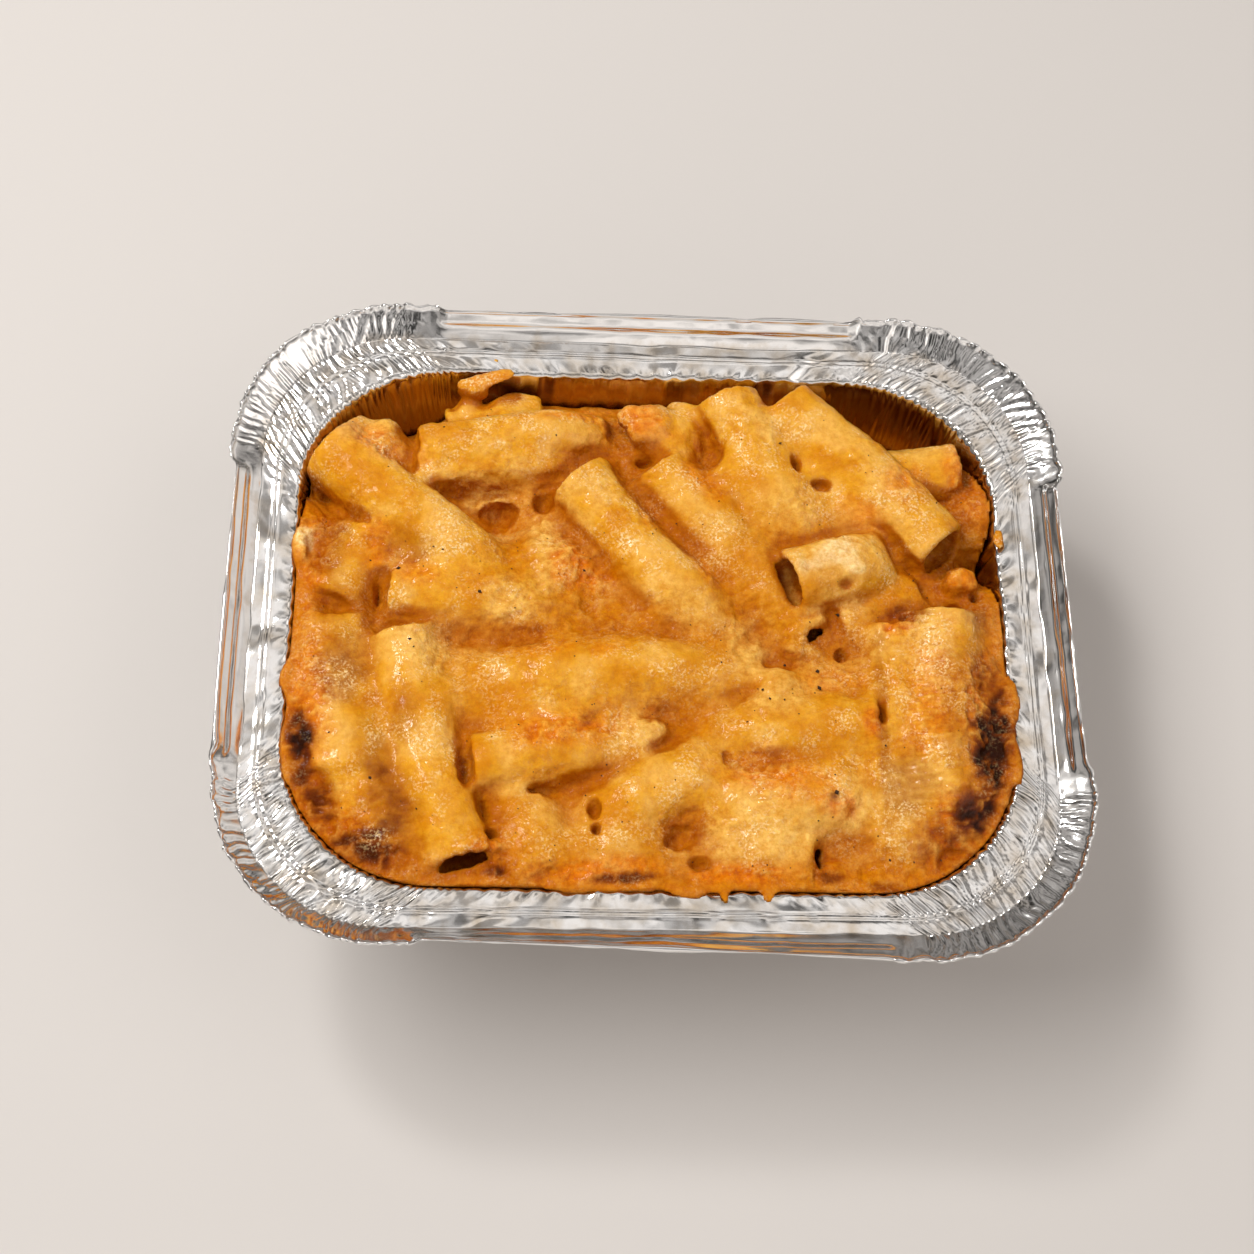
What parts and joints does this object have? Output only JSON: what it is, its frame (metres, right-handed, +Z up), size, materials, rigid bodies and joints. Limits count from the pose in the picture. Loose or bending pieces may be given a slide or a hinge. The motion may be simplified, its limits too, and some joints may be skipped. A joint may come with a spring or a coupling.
{
  "type": "foil tray meal",
  "caption": "Oblong foil takeaway tray with a pleated rim, filled with baked pasta tubes under a browned cheese crust.",
  "frame": {"origin": "on the surface that the tray stands on, under the middle of its overall box", "axes": "+Z up, out of the open tray; +X along the tray's longer side; -Y towards the side that faces the viewer"},
  "size_m": [0.147, 0.1225, 0.0439],
  "materials": {
    "foil": "bright crinkled thin aluminium foil, pleated at the corners",
    "baked_pasta": "baked pasta in cheese sauce, golden with browned patches, slightly oily"
  },
  "bodies": {
    "root": {"foil_tray": "foil", "pasta_bake": "baked_pasta"}
  },
  "joints": []
}
